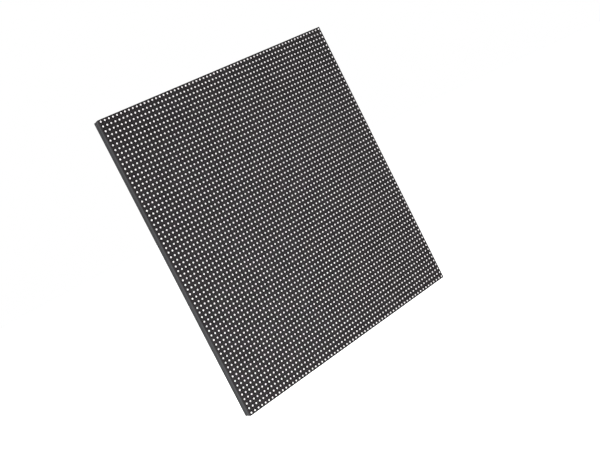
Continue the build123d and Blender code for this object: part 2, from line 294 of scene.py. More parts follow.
def board_laminate():
    """Glass-epoxy board: black solder mask over tracks and vias in low relief, and a bare sawn edge."""
    material, tree, shader, place = new_finish("black_solder_mask_board", roughness=0.38,
                                               specular=BOARD_SHEEN)
    split = add(tree, SEPARATE, {"Vector": place}).node.outputs

    # Tracks: level in some areas of the board and upright in the others
    areas = add(tree, CELLS, {"Vector": place, "Scale": per_metre(TRACK_AREA)}, distance="CHEBYCHEV")
    chance = add(tree, "ShaderNodeSeparateColor", {"Color": areas.node.outputs["Color"]})
    level_area = add(tree, MATH, {0: chance, 1: UPRIGHT_SHARE}, operation="GREATER_THAN")
    bands = {"Vector": place, "Scale": band_scale(TRACK_STEP)}
    upright_tracks = add(tree, WAVE, bands, bands_direction="X")
    level_tracks = add(tree, WAVE, bands, bands_direction="Z")
    lines = add(tree, MIX, {BLEND: level_area, FIRST_VALUE: upright_tracks, SECOND_VALUE: level_tracks})
    tracks = add(tree, RANGE, {"Value": lines, "From Min": TRACK_FADE_FROM, "From Max": TRACK_FADE_TO})
    colours = {BLEND: tracks, FIRST_COLOUR: to_linear("#151719"), SECOND_COLOUR: to_linear("#202527")}
    face = add(tree, MIX, colours, data_type="RGBA")

    # Vias: a covered land, with a near-black dot of painted shade where the bore of its hole is
    flat = add(tree, COMBINE, {"X": split["X"], "Y": split["Z"]})
    vias = add(tree, CELLS, {"Vector": flat, "Scale": per_metre(VIA_SPACING)}, voronoi_dimensions="2D")
    land = add(tree, MATH, {0: vias, 1: VIA_LAND / VIA_SPACING}, operation="LESS_THAN")
    bore_shade = add(tree, MATH, {0: vias, 1: VIA_HOLE / VIA_SPACING}, operation="LESS_THAN")
    for part, colour in ((land, "#30373a"), (bore_shade, "#08090a")):
        colours = {BLEND: part, FIRST_COLOUR: face, SECOND_COLOUR: to_linear(colour)}
        face = add(tree, MIX, colours, data_type="RGBA")

    # Sawn edge: the real cloth layers are half as thick, and are drawn as coarse as they need to show
    bands = {"Vector": place, "Scale": band_scale(GLASS_LAYER), "Distortion": LAYER_WANDER}
    layers = add(tree, WAVE, bands, bands_direction="Y")
    colours = {BLEND: layers, FIRST_COLOUR: to_linear("#323235"), SECOND_COLOUR: to_linear("#3f3f42")}
    edge = add(tree, MIX, colours, data_type="RGBA")
    sideways = add(tree, MATH, {0: split["X"]}, operation="ABSOLUTE")
    upwards = add(tree, MATH, {0: split["Z"]}, operation="ABSOLUTE")
    outwards = add(tree, MATH, {0: sideways, 1: upwards}, operation="MAXIMUM")
    sawn = add(tree, MATH, {0: outwards, 1: BARE_EDGE_FROM}, operation="GREATER_THAN")
    board = add(tree, MIX, {BLEND: sawn, FIRST_COLOUR: face, SECOND_COLOUR: edge}, data_type="RGBA")
    tree.links.new(board, shader.inputs["Base Color"])

    # Relief: on the faces only
    copper = add(tree, MATH, {0: tracks, 1: land}, operation="MAXIMUM")
    on_face = add(tree, MATH, {0: outwards, 1: BARE_EDGE_FROM}, operation="LESS_THAN")
    raised = add(tree, MATH, {0: copper, 1: on_face}, operation="MULTIPLY")
    bump = add(tree, BUMP, {"Height": raised, "Distance": TRACK_RELIEF * MM})
    tree.links.new(bump, shader.inputs["Normal"])
    return material


def reflector_cup():
    """White reflector under clear resin, with three small dies in a column at the middle of each cup."""
    material, tree, shader, place = new_finish("white_reflector_under_resin", roughness=0.25)
    white = mottled(tree, place, REFLECTOR_PATCH, "#f8f4f5", "#f2eeef", REFLECTOR_DETAIL)
    cell = add(tree, VECTOR_MATH, {0: place, 1: (PIXEL_PITCH, FAR, PIXEL_PITCH)}, operation="MODULO")
    folded = add(tree, VECTOR_MATH, {0: cell}, operation="ABSOLUTE")
    middle = (PIXEL_PITCH / 2, 0.0, PIXEL_PITCH / 2)
    centred = add(tree, VECTOR_MATH, {0: folded, 1: middle}, operation="SUBTRACT")
    from_middle = add(tree, VECTOR_MATH, {0: centred}, operation="ABSOLUTE")
    split = add(tree, SEPARATE, {"Vector": from_middle}).node.outputs
    step = add(tree, MATH, {0: split["Z"], 1: DIE_STEP / 2}, operation="PINGPONG")
    tests = [
        add(tree, MATH, {0: split["X"], 1: DIE_SIDE / 2}, operation="LESS_THAN"),
        add(tree, MATH, {0: step, 1: DIE_SIDE / 2}, operation="LESS_THAN"),
        add(tree, MATH, {0: split["Z"], 1: DIE_STEP + DIE_SIDE / 2}, operation="LESS_THAN"),
    ]
    near = add(tree, MATH, {0: tests[0], 1: tests[1]}, operation="MULTIPLY")
    die = add(tree, MATH, {0: near, 1: tests[2]}, operation="MULTIPLY")
    colours = {BLEND: die, FIRST_COLOUR: white, SECOND_COLOUR: to_linear("#a5a2a6")}
    tree.links.new(add(tree, MIX, colours, data_type="RGBA"), shader.inputs["Base Color"])
    return material


# Sheen of the black plastics, matched to the photograph in a room that reflects white
MASK_SHEEN = 0.2
PACKAGE_SHEEN = 0.06
FRAME_SHEEN = 0.25
BOARD_SHEEN = 0.25
PART_SHEEN = 0.35

# Grain and bloom of 0.25 to 0.8 mm are coarser than the real ones, which are too fine to show
FINISHES = {
    # Polycarbonate, moulded against an etched tool: near-black and matt, with a soft haze
    "mask_plastic": surface("etched_black_polycarbonate", "#221e20", "#2a2628", patch=14.0,
                            roughness=(0.55, 0.7), grain=0.5, relief=0.02, edge=0.06, specular=MASK_SHEEN),
    # Moulding compound of the LED packages: the darkest black, so that each dot has a dark ring
    "package_body": surface("black_moulding_compound", "#060506", "#0c0b0c", patch=2.0, roughness=(0.48, 0.6),
                            grain=0.3, relief=0.01, specular=PACKAGE_SHEEN),
    # White reflector: bright and smooth, the only pale part of the front
    "led_resin": reflector_cup(),
    # Solder mask over laminate: satin black with lines just lighter than itself
    "board_laminate": board_laminate(),
    # ABS, moulded with a light texture: dark grey, with a soft gloss along its edges
    "frame_plastic": surface("textured_black_abs", "#29292b", "#2e2e31", patch=14.0, roughness=(0.44, 0.6),
                             grain=0.6, relief=0.03, edge=0.2, specular=FRAME_SHEEN),
    # Brass: warm yellow rings in the black bosses
    "insert_brass": turned_brass(),
    # Tin plate on steel: dull pale grey
    "nut_steel": surface("tin_plated_nut", "#b4b6b8", "#9ea1a4", patch=0.6, roughness=(0.28, 0.45), grain=0.6,
                         relief=0.01, metallic=1.0),
    # Zinc plate on steel: slightly blue grey with a soft bloom
    "screw_steel": surface("zinc_plated_screw", "#a6a9ae", "#8d9197", patch=0.8, roughness=(0.26, 0.42),
                           grain=0.8, relief=0.01, metallic=1.0),
    # Glass-filled polyester: black with fine flow marks
    "header_plastic": surface("black_glass_filled_polyester", "#1c1c1d", "#252526", patch=6.0,
                              roughness=(0.38, 0.5), grain=0.4, relief=0.015, edge=0.1, specular=PART_SHEEN),
    # Gold flash on square wire: bright yellow, worn slightly uneven
    "pin_gold": surface("gold_flashed_pin", "#e3bd6a", "#cfa653", patch=0.5, roughness=(0.2, 0.32), grain=0.5,
                        relief=0.005, edge=0.05, metallic=1.0),
    # Natural nylon: milky and warm white
    "power_plastic": surface("natural_nylon", "#ded7c4", "#e8e2d2", patch=8.0, roughness=(0.4, 0.5),
                             grain=0.6, relief=0.015, edge=0.12),
    # Tin plate on pins and chip leads: bright silver grey
    "pin_tin": surface("tin_plated_pin", "#c4c6c8", "#aaadb0", patch=0.5, roughness=(0.24, 0.38), grain=0.5,
                       relief=0.005, edge=0.05, metallic=1.0),
    # Epoxy of the chips: near-black, very fine and matt
    "chip_epoxy": surface("matt_chip_epoxy", "#19191b", "#212123", patch=5.0, roughness=(0.48, 0.6),
                          grain=0.25, relief=0.012, edge=0.05, specular=PART_SHEEN),
    # Heat-proof base of the capacitors: plain black
    "base_plastic": surface("black_capacitor_base", "#171718", "#202021", patch=4.0, roughness=(0.4, 0.52),
                            grain=0.4, relief=0.01, edge=0.06, specular=PART_SHEEN),
    # Bare aluminium: pale satin cans that stand out on the black board
    "can_aluminium": drawn_aluminium(),
    # Fired ceramic: warm tan and satin
    "capacitor_ceramic": surface("fired_tan_ceramic", "#9a7b58", "#ab8c68", patch=0.8, roughness=(0.4, 0.5),
                                 grain=0.3, relief=0.008),
    # Printed resistor coat: smooth black
    "resistor_ceramic": surface("printed_black_resistor", "#191a1c", "#26282a", patch=0.8,
                                roughness=(0.3, 0.42), grain=0.3, relief=0.005),
    # Solder that has flowed: bright, smooth and slightly rippled
    "solder": surface("reflowed_solder", "#cfd1d3", "#b2b5b8", patch=0.4, roughness=(0.18, 0.3), grain=0.4,
                      relief=0.01, metallic=1.0),
    # Legend ink: flat off-white, thin in places
    "legend": surface("white_legend_ink", "#9fa09d", "#c4c5c1", patch=0.3, roughness=(0.55, 0.65), grain=0.3,
                      relief=0.002),
}


def new_tree(name, sizes):
    """A geometry tree with named inputs and their defaults. Returns it with its inputs and its output."""
    kinds = {int: "NodeSocketInt", float: "NodeSocketFloat", tuple: "NodeSocketVector",
             bpy.types.Material: "NodeSocketMaterial"}
    tree = bpy.data.node_groups.new(name, "GeometryNodeTree")
    tree.interface.new_socket("Geometry", in_out="OUTPUT", socket_type="NodeSocketGeometry")
    tree.interface.new_socket("Geometry", in_out="INPUT", socket_type="NodeSocketGeometry")
    for label, value in sizes.items():
        tree.interface.new_socket(label, in_out="INPUT", socket_type=kinds[type(value)]).default_value = value
    given = tree.nodes.new("NodeGroupInput")
    return tree, given.outputs, tree.nodes.new("NodeGroupOutput").inputs[0]


def grow(name, tree, sizes, places=()):
    """Runs a tree on a set of places, and returns what it makes as a plain mesh at the origin."""
    base = bpy.data.meshes.new(name)
    base.from_pydata(list(places), [], [])
    holder = bpy.data.objects.new(name + "_places", base)
    bpy.context.scene.collection.objects.link(holder)
    modifier = holder.modifiers.new(name, "NODES")
    modifier.node_group = tree
    for socket in tree.interface.items_tree:
        if socket.in_out == "INPUT" and socket.name in sizes:
            modifier[socket.identifier] = sizes[socket.name]
    bpy.context.view_layer.update()
    depsgraph = bpy.context.evaluated_depsgraph_get()
    mesh = bpy.data.meshes.new_from_object(holder.evaluated_get(depsgraph), depsgraph=depsgraph)
    holder.modifiers.remove(modifier)
    bpy.data.objects.remove(holder)
    mesh.name = name
    piece = bpy.data.objects.new(name, mesh)
    bpy.context.scene.collection.objects.link(piece)
    return piece


def fit(piece, slot, *nodes):
    """Puts a finished piece on the panel and hides the solids that it stands for. Its slot is not used."""
    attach(piece, "root")
    if nodes:
        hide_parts(*nodes)


def block(tree, x, y, z, place):
    """A box of three sizes with its middle at a place."""
    cube = add(tree, CUBE, {"Size": add(tree, COMBINE, {"X": x, "Y": y, "Z": z})})
    return add(tree, MOVE, {"Geometry": cube, "Translation": place})


def bar(tree, radius, length, sides, y):
    """A bar along the depth axis with its middle at a depth."""
    rod = add(tree, CYLINDER, {"Radius": radius, "Depth": length, "Vertices": sides})
    middle = add(tree, COMBINE, {"Y": y})
    return add(tree, MOVE, {"Geometry": rod, "Translation": middle, "Rotation": DEPTHWAYS})


def turned(tree, radius, length, sides, steps, profile):
    """A round body along the depth axis, whose width follows a profile of places and shares of its radius."""
    end = add(tree, COMBINE, {"Y": length})
    line = add(tree, "GeometryNodeCurvePrimitiveLine", {"Start": ORIGIN, "End": end})
    path = add(tree, "GeometryNodeResampleCurve", {"Curve": line, "Count": steps})
    along = add(tree, "GeometryNodeSplineParameter")
    shape = add(tree, "ShaderNodeFloatCurve", {"Value": along})
    curve = shape.node.mapping.curves[0].points
    for place, share in profile[1:-1]:
        curve.new(place, share)
    curve[0].location = profile[0]
    curve[-1].location = profile[-1]
    for point in curve:
        point.handle_type = "VECTOR"
    shape.node.mapping.update()
    width = add(tree, MATH, {0: shape, 1: radius}, operation="MULTIPLY")
    circle = add(tree, "GeometryNodeCurvePrimitiveCircle", {"Resolution": sides, "Radius": 1.0})
    return add(tree, SWEEP, {"Curve": path, "Profile Curve": circle, "Scale": width, "Fill Caps": True})


def repeated(tree, made, points, part, turn, finish=None):
    """Ends a tree with a real copy of a part on each point, in one finish or in those of its pieces."""
    copies = add(tree, COPIES, {"Points": points, "Instance": part, "Rotation": turn})
    real = add(tree, REALIZE, {"Geometry": copies})
    if finish:
        real = add(tree, PAINT, {"Geometry": real, "Material": finish})
    tree.links.new(real, made)


def windowed_sheet(tree, side, pitch, count, window, rear, depth):
    """Square sheet that faces the front, with a square window in each cell of a grid."""
    span = add(tree, MATH, {0: pitch, 1: count}, operation="MULTIPLY")
    corners = add(tree, MATH, {0: count, 1: 1.0}, operation="ADD")
    grid = add(tree, GRID, {"Size X": span, "Size Y": span, "Vertices X": corners, "Vertices Y": corners})
    middle = add(tree, COMBINE, {"Y": rear})
    upright = add(tree, MOVE, {"Geometry": grid, "Translation": middle, "Rotation": DEPTHWAYS})

    # A pane in each cell, shrunk to the window and taken out
    inner = add(tree, EXTRUDE, {"Mesh": upright, "Offset Scale": 0.0, "Individual": True})
    panes = inner.node.outputs["Top"]
    share = add(tree, MATH, {0: window, 1: pitch}, operation="DIVIDE")
    shrunk = add(tree, "GeometryNodeScaleElements", {"Geometry": inner, "Scale": share, "Selection": panes})
    opened = add(tree, "GeometryNodeDeleteGeometry", {"Geometry": shrunk, "Selection": panes}, domain="FACE")

    # The outer cells, trimmed to the sheet's side
    half = add(tree, MATH, {0: side, 1: 0.5}, operation="MULTIPLY")
    low = add(tree, MATH, {0: side, 1: -0.5}, operation="MULTIPLY")
    place = add(tree, "GeometryNodeInputPosition")
    high_corner = add(tree, COMBINE, {"X": half, "Y": FAR, "Z": half})
    low_corner = add(tree, COMBINE, {"X": low, "Y": -FAR, "Z": low})
    capped = add(tree, VECTOR_MATH, {0: place, 1: high_corner}, operation="MINIMUM")
    kept = add(tree, VECTOR_MATH, {0: capped, 1: low_corner}, operation="MAXIMUM")
    trimmed = add(tree, "GeometryNodeSetPosition", {"Geometry": opened, "Position": kept})

    # The front pulled forward, and a rear face to close it
    forward = add(tree, COMBINE, {"Y": add(tree, MATH, {0: depth, 1: -1.0}, operation="MULTIPLY")})
    pull = {"Mesh": trimmed, "Offset": forward, "Offset Scale": 1.0, "Individual": False}
    raised = add(tree, EXTRUDE, pull)
    back = add(tree, "GeometryNodeFlipFaces", {"Mesh": trimmed})
    closed = add(tree, JOIN, {"Geometry": [raised, back]})
    return add(tree, "GeometryNodeMergeByDistance", {"Geometry": closed, "Distance": WELD_GAP})


def mask_tree():
    """Front mask: a face with a window for each LED, a rim round it, and a short pin on each place."""
    sizes = {"Side": PIXEL_PITCH * PIXELS, "Pitch": PIXEL_PITCH, "Count": PIXELS, "Window": WINDOW_SIDE,
             "Face": MASK_FACE, "Rim": MASK_RIM, "Front": 0.0, "Board": 0.0, "Pin": 1.0 * MM,
             "Pin length": 1.0 * MM, "Pin sides": 8, "Finish": FINISHES["mask_plastic"]}
    tree, given, made = new_tree("front_mask", sizes)
    face_rear = add(tree, MATH, {0: given["Front"], 1: given["Face"]}, operation="ADD")
    face = windowed_sheet(tree, given["Side"], given["Pitch"], given["Count"], given["Window"], face_rear,
                          given["Face"])
    rims = add(tree, MATH, {0: given["Rim"], 1: 2.0}, operation="MULTIPLY")
    inside = add(tree, MATH, {0: given["Side"], 1: rims}, operation="SUBTRACT")
    rim_depth = add(tree, MATH, {0: given["Board"], 1: face_rear}, operation="SUBTRACT")
    rim = windowed_sheet(tree, given["Side"], given["Side"], 1, inside, given["Board"], rim_depth)
    radius = add(tree, MATH, {0: given["Pin"], 1: 0.5}, operation="MULTIPLY")
    middle = add(tree, MATH, {0: given["Pin length"], 1: -0.5}, operation="MULTIPLY")
    pin = bar(tree, radius, given["Pin length"], given["Pin sides"], middle)
    pins = add(tree, REALIZE, {"Geometry": add(tree, COPIES, {"Points": given["Geometry"], "Instance": pin})})
    mask = add(tree, JOIN, {"Geometry": [face, rim, pins]})
    tree.links.new(add(tree, PAINT, {"Geometry": mask, "Material": given["Finish"]}), made)
    return tree


def package_tree():
    """LED packages on a grid: a black body with a round white cup in its front."""
    sizes = {"Pitch": PIXEL_PITCH, "Columns": PIXELS, "Rows": PIXELS // 2, "Body": PACKAGE_SIDE,
             "Height": PACKAGE_HEIGHT, "Cup": CUP_WIDTH, "Cup depth": CUP_DEPTH, "Cup sides": 16,
             "Centre": ORIGIN, "Body finish": FINISHES["package_body"], "Cup finish": FINISHES["led_resin"]}
    tree, given, made = new_tree("led_packages", sizes)
    middle = add(tree, MATH, {0: given["Height"], 1: -0.5}, operation="MULTIPLY")
    body = block(tree, given["Body"], given["Height"], given["Body"], add(tree, COMBINE, {"Y": middle}))
    body = add(tree, PAINT, {"Geometry": body, "Material": given["Body finish"]})
    radius = add(tree, MATH, {0: given["Cup"], 1: 0.5}, operation="MULTIPLY")
    twice = add(tree, MATH, {0: given["Cup depth"], 1: 2.0}, operation="MULTIPLY")
    front = add(tree, MATH, {0: given["Height"], 1: -1.0}, operation="MULTIPLY")
    cup = bar(tree, radius, twice, given["Cup sides"], front)
    cup = add(tree, PAINT, {"Geometry": cup, "Material": given["Cup finish"]})
    package = add(tree, BOOLEAN, {"Mesh 1": body, "Mesh 2": cup}, operation="DIFFERENCE", solver="EXACT")
    steps = [add(tree, MATH, {0: given[way], 1: 1.0}, operation="SUBTRACT") for way in ("Columns", "Rows")]
    spans = [add(tree, MATH, {0: given["Pitch"], 1: step}, operation="MULTIPLY") for step in steps]
    grid = add(tree, GRID, {"Size X": spans[0], "Size Y": spans[1], "Vertices X": given["Columns"],
                            "Vertices Y": given["Rows"]})
    points = add(tree, MOVE, {"Geometry": grid, "Translation": given["Centre"], "Rotation": DEPTHWAYS})
    repeated(tree, made, points, package, UNTURNED)
    return tree


def lead_tree():
    """Leads down both sides of each chip, bent out and down onto solder pads."""
    sizes = {"Pitch": FINE_PITCH, "Per side": 12, "Body": 3.9 * MM, "Shoulder": 0.75 * MM,
             "Reach": LEAD_REACH, "Bend steps": 7, "Width": 0.25 * MM, "Thickness": 0.16 * MM,
             "Turn": UNTURNED, "Finish": FINISHES["pin_tin"], "Pad finish": FINISHES["solder"]}
    tree, given, made = new_tree("gull_wing_leads", sizes)
    side = add(tree, MATH, {0: given["Body"], 1: 0.5}, operation="MULTIPLY")
    start = add(tree, MATH, {0: side, 1: LEAD_IN_BODY}, operation="SUBTRACT")
    end = add(tree, MATH, {0: side, 1: given["Reach"]}, operation="ADD")
    foot = add(tree, MATH, {0: given["Thickness"], 1: 0.5}, operation="MULTIPLY")
    bend = add(tree, MATH, {0: given["Reach"], 1: LEAD_BEND}, operation="MULTIPLY")
    past_start = add(tree, MATH, {0: start, 1: bend}, operation="ADD")
    before_end = add(tree, MATH, {0: end, 1: bend}, operation="SUBTRACT")
    ends = {
        "Resolution": given["Bend steps"],
        "Start": add(tree, COMBINE, {"X": start, "Y": given["Shoulder"]}),
        "Start Handle": add(tree, COMBINE, {"X": past_start, "Y": given["Shoulder"]}),
        "End Handle": add(tree, COMBINE, {"X": before_end, "Y": foot}),
        "End": add(tree, COMBINE, {"X": end, "Y": foot}),
    }
    path = add(tree, "GeometryNodeCurvePrimitiveBezierSegment", ends, mode="POSITION")
    path = add(tree, "GeometryNodeSetCurveNormal", {"Curve": path}, mode="Z_UP")
    outline = {"Width": given["Thickness"], "Height": given["Width"]}
    section = add(tree, "GeometryNodeCurvePrimitiveQuadrilateral", outline)
    lead = add(tree, SWEEP, {"Curve": path, "Profile Curve": section, "Fill Caps": True})
    lead = add(tree, PAINT, {"Geometry": lead, "Material": given["Finish"]})
    pad_x = add(tree, MATH, {0: end, 1: LEAD_PAD_FROM_TIP}, operation="SUBTRACT")
    pad_width = add(tree, MATH, {0: given["Width"], 1: PAD_TO_LEAD}, operation="MULTIPLY")
    pad_middle = add(tree, COMBINE, {"X": pad_x, "Y": PAD_THICKNESS / 2})
    pad = block(tree, LEAD_PAD, PAD_THICKNESS, pad_width, pad_middle)
    pad = add(tree, PAINT, {"Geometry": pad, "Material": given["Pad finish"]})
    one = add(tree, JOIN, {"Geometry": [lead, pad]})
    steps = add(tree, MATH, {0: 1.0, 1: given["Per side"]}, operation="SUBTRACT")
    half_steps = add(tree, MATH, {0: steps, 1: 0.5}, operation="MULTIPLY")
    first = add(tree, MATH, {0: given["Pitch"], 1: half_steps}, operation="MULTIPLY")
    spread = {
        "Count": given["Per side"],
        "Start Location": add(tree, COMBINE, {"Z": first}),
        "Offset": add(tree, COMBINE, {"Z": given["Pitch"]}),
    }
    line = add(tree, "GeometryNodeMeshLine", spread)
    row = add(tree, REALIZE, {"Geometry": add(tree, COPIES, {"Points": line, "Instance": one})})
    other = add(tree, MOVE, {"Geometry": row, "Rotation": HALF_TURN})
    repeated(tree, made, given["Geometry"], add(tree, JOIN, {"Geometry": [row, other]}), given["Turn"])
    return tree


def small_part_tree():
    """Small ceramic parts: a body between two tinned ends that stand slightly proud of it, on solder."""
    sizes = {"Length": 1.6 * MM, "Width": 0.8 * MM, "Height": 0.8 * MM, "End": TINNED_END, "Proud": 0.03 * MM,
             "Turn": UNTURNED, "Finish": FINISHES["capacitor_ceramic"], "End finish": FINISHES["solder"]}
    tree, given, made = new_tree("end_capped_parts", sizes)
    middle = add(tree, MATH, {0: given["Height"], 1: 0.5}, operation="MULTIPLY")
    inner = add(tree, MATH, {0: given["Length"], 1: given["End"]}, operation="SUBTRACT")
    slim = add(tree, MATH, {0: given["Width"], 1: given["Proud"]}, operation="SUBTRACT")
    low = add(tree, MATH, {0: given["Height"], 1: given["Proud"]}, operation="SUBTRACT")
    body = block(tree, inner, low, slim, add(tree, COMBINE, {"Y": middle}))
    body = add(tree, PAINT, {"Geometry": body, "Material": given["Finish"]})
    ends = []
    for way in (-0.5, 0.5):
        at = add(tree, COMBINE, {"X": add(tree, MATH, {0: inner, 1: way}, operation="MULTIPLY"), "Y": middle})
        ends.append(block(tree, given["End"], given["Height"], given["Width"], at))
    pad_length = add(tree, MATH, {0: given["Length"], 1: SMALL_PAD_PAST_ENDS}, operation="ADD")
    pad = block(tree, pad_length, PAD_THICKNESS, given["Width"], (0.0, PAD_THICKNESS / 2, 0.0))
    tinned = add(tree, JOIN, {"Geometry": [*ends, pad]})
    tinned = add(tree, PAINT, {"Geometry": tinned, "Material": given["End finish"]})
    repeated(tree, made, given["Geometry"], add(tree, JOIN, {"Geometry": [body, tinned]}), given["Turn"])
    return tree


def can_tree():
    """Drawn cans with a crimp groove, a rounded shoulder and a dark mark on one side of the end."""
    sizes = {"Diameter": 6.3 * MM, "Height": 4.2 * MM, "Sides": 40, "Steps": 48,
             "Finish": FINISHES["can_aluminium"], "Mark finish": FINISHES["chip_epoxy"]}
    tree, given, made = new_tree("capacitor_cans", sizes)
    radius = add(tree, MATH, {0: given["Diameter"], 1: 0.5}, operation="MULTIPLY")
    profile = [(0.0, 0.9), (0.06, 0.985), (0.16, 1.0), (0.21, 0.91), (0.27, 0.91), (0.33, 1.0), (0.9, 1.0),
               (0.96, 0.975), (1.0, 0.9)]
    can = turned(tree, radius, given["Height"], given["Sides"], given["Steps"], profile)
    can = add(tree, PAINT, {"Geometry": can, "Material": given["Finish"]})
    mark_radius = add(tree, MATH, {0: radius, 1: CAN_FLAT}, operation="MULTIPLY")
    disc = bar(tree, mark_radius, PAD_THICKNESS, given["Sides"], given["Height"])
    aside = add(tree, MATH, {0: radius, 1: -1 - CAN_MARK_FROM_MIDDLE}, operation="MULTIPLY")
    cover_middle = add(tree, COMBINE, {"X": aside, "Y": given["Height"]})
    cover = block(tree, given["Diameter"], CUTTER_DEPTH, given["Diameter"], cover_middle)
    mark = add(tree, BOOLEAN, {"Mesh 2": [disc, cover]}, operation="INTERSECT", solver="EXACT")
    mark = add(tree, PAINT, {"Geometry": mark, "Material": given["Mark finish"]})
    repeated(tree, made, given["Geometry"], add(tree, JOIN, {"Geometry": [can, mark]}), UNTURNED)
    return tree


def screw_tree():
    """Pan-head screws with a cross recess, their shanks forward of the seat."""
    sizes = {"Head": 4.5 * MM, "Head height": SCREW_HEAD_HEIGHT, "Head sides": 32, "Head steps": 14,
             "Shank": 2.2 * MM, "Shank sides": 16, "Length": 5.0 * MM, "Recess": 2.6 * MM, "Slot": 0.62 * MM,
             "Recess depth": 1.0 * MM, "Finish": FINISHES["screw_steel"]}
    tree, given, made = new_tree("cross_head_screws", sizes)
    radius = add(tree, MATH, {0: given["Head"], 1: 0.5}, operation="MULTIPLY")
    profile = [(0.0, 0.97), (0.12, 1.0), (0.45, 0.99), (0.68, 0.93), (0.86, 0.8), (1.0, 0.6)]
    head = turned(tree, radius, given["Head height"], given["Head sides"], given["Head steps"], profile)
    top = add(tree, COMBINE, {"Y": given["Head height"]})
    twice = add(tree, MATH, {0: given["Recess depth"], 1: 2.0}, operation="MULTIPLY")
    arms = [block(tree, given["Recess"], twice, given["Slot"], top),
            block(tree, given["Slot"], twice, given["Recess"], top)]
    head = add(tree, BOOLEAN, {"Mesh 1": head, "Mesh 2": arms}, operation="DIFFERENCE", solver="EXACT")
    shank_radius = add(tree, MATH, {0: given["Shank"], 1: 0.5}, operation="MULTIPLY")
    middle = add(tree, MATH, {0: given["Length"], 1: -0.5}, operation="MULTIPLY")
    shank = bar(tree, shank_radius, given["Length"], given["Shank sides"], middle)
    screw = add(tree, JOIN, {"Geometry": [head, shank]})
    repeated(tree, made, given["Geometry"], screw, UNTURNED, given["Finish"])
    return tree


def thread_tree():
    """Thread ridges inside the bore of each insert."""
    sizes = {"Bore": 2.5 * MM, "Length": 4.8 * MM, "Lead": 0.5 * MM, "Ridge": 0.13 * MM,
             "Steps per round": 20, "Ridge sides": 4, "Finish": FINISHES["insert_brass"]}
    tree, given, made = new_tree("insert_threads", sizes)
    radius = add(tree, MATH, {0: given["Bore"], 1: 0.5}, operation="MULTIPLY")
    rounds = add(tree, MATH, {0: given["Length"], 1: given["Lead"]}, operation="DIVIDE")
    spiral = {"Resolution": given["Steps per round"], "Rotations": rounds, "Start Radius": radius,
              "End Radius": radius, "Height": given["Length"]}
    coil = add(tree, "GeometryNodeCurveSpiral", spiral)
    section = {"Resolution": given["Ridge sides"], "Radius": given["Ridge"]}
    ridge = add(tree, "GeometryNodeCurvePrimitiveCircle", section)
    thread = add(tree, SWEEP, {"Curve": coil, "Profile Curve": ridge, "Fill Caps": True})
    thread = add(tree, MOVE, {"Geometry": thread, "Rotation": DEPTHWAYS})
    repeated(tree, made, given["Geometry"], thread, UNTURNED, given["Finish"])
    return tree


def outline_tree():
    """Printed outlines on the board, one round each place."""
    sizes = {"Width": 6.0 * MM, "Length": 10.0 * MM, "Line": PRINT_LINE, "Thickness": PRINT_THICKNESS,
             "Finish": FINISHES["legend"]}
    tree, given, made = new_tree("printed_outlines", sizes)
    outer = block(tree, given["Width"], given["Thickness"], given["Length"], ORIGIN)
    lines = add(tree, MATH, {0: given["Line"], 1: 2.0}, operation="MULTIPLY")
    inside = [add(tree, MATH, {0: given[way], 1: lines}, operation="SUBTRACT") for way in ("Width", "Length")]
    inner = block(tree, inside[0], CUTTER_DEPTH, inside[1], ORIGIN)
    ring = add(tree, BOOLEAN, {"Mesh 1": outer, "Mesh 2": inner}, operation="DIFFERENCE", solver="EXACT")
    repeated(tree, made, given["Geometry"], ring, UNTURNED, given["Finish"])
    return tree


def solder_tree():
    """Solder pads on the board, each with a low dome of solder round what stands in it."""
    sizes = {"Length": 2.2 * MM, "Width": 1.1 * MM, "Dome": 0.32 * MM, "Dome sides": 12, "Dome rings": 6,
             "Turn": UNTURNED, "Finish": FINISHES["solder"]}
    tree, given, made = new_tree("solder_joints", sizes)
    pad = block(tree, given["Length"], PAD_THICKNESS, given["Width"], (0.0, PAD_THICKNESS / 2, 0.0))
    round_steps = {"Segments": given["Dome sides"], "Rings": given["Dome rings"], "Radius": 0.5}
    ball = add(tree, "GeometryNodeMeshUVSphere", round_steps)
    length = add(tree, MATH, {0: given["Length"], 1: DOME_ALONG}, operation="MULTIPLY")
    height = add(tree, MATH, {0: given["Dome"], 1: 2.0}, operation="MULTIPLY")
    width = add(tree, MATH, {0: given["Width"], 1: DOME_ACROSS}, operation="MULTIPLY")
    stretch = add(tree, COMBINE, {"X": length, "Y": height, "Z": width})
    dome = add(tree, MOVE, {"Geometry": ball, "Scale": stretch})
    half = add(tree, MATH, {0: given["Dome"], 1: 0.5}, operation="MULTIPLY")
    room = block(tree, given["Length"], given["Dome"], given["Width"], add(tree, COMBINE, {"Y": half}))
    dome = add(tree, BOOLEAN, {"Mesh 2": [dome, room]}, operation="INTERSECT", solver="EXACT")
    joint = add(tree, JOIN, {"Geometry": [pad, dome]})
    repeated(tree, made, given["Geometry"], joint, given["Turn"], given["Finish"])
    return tree


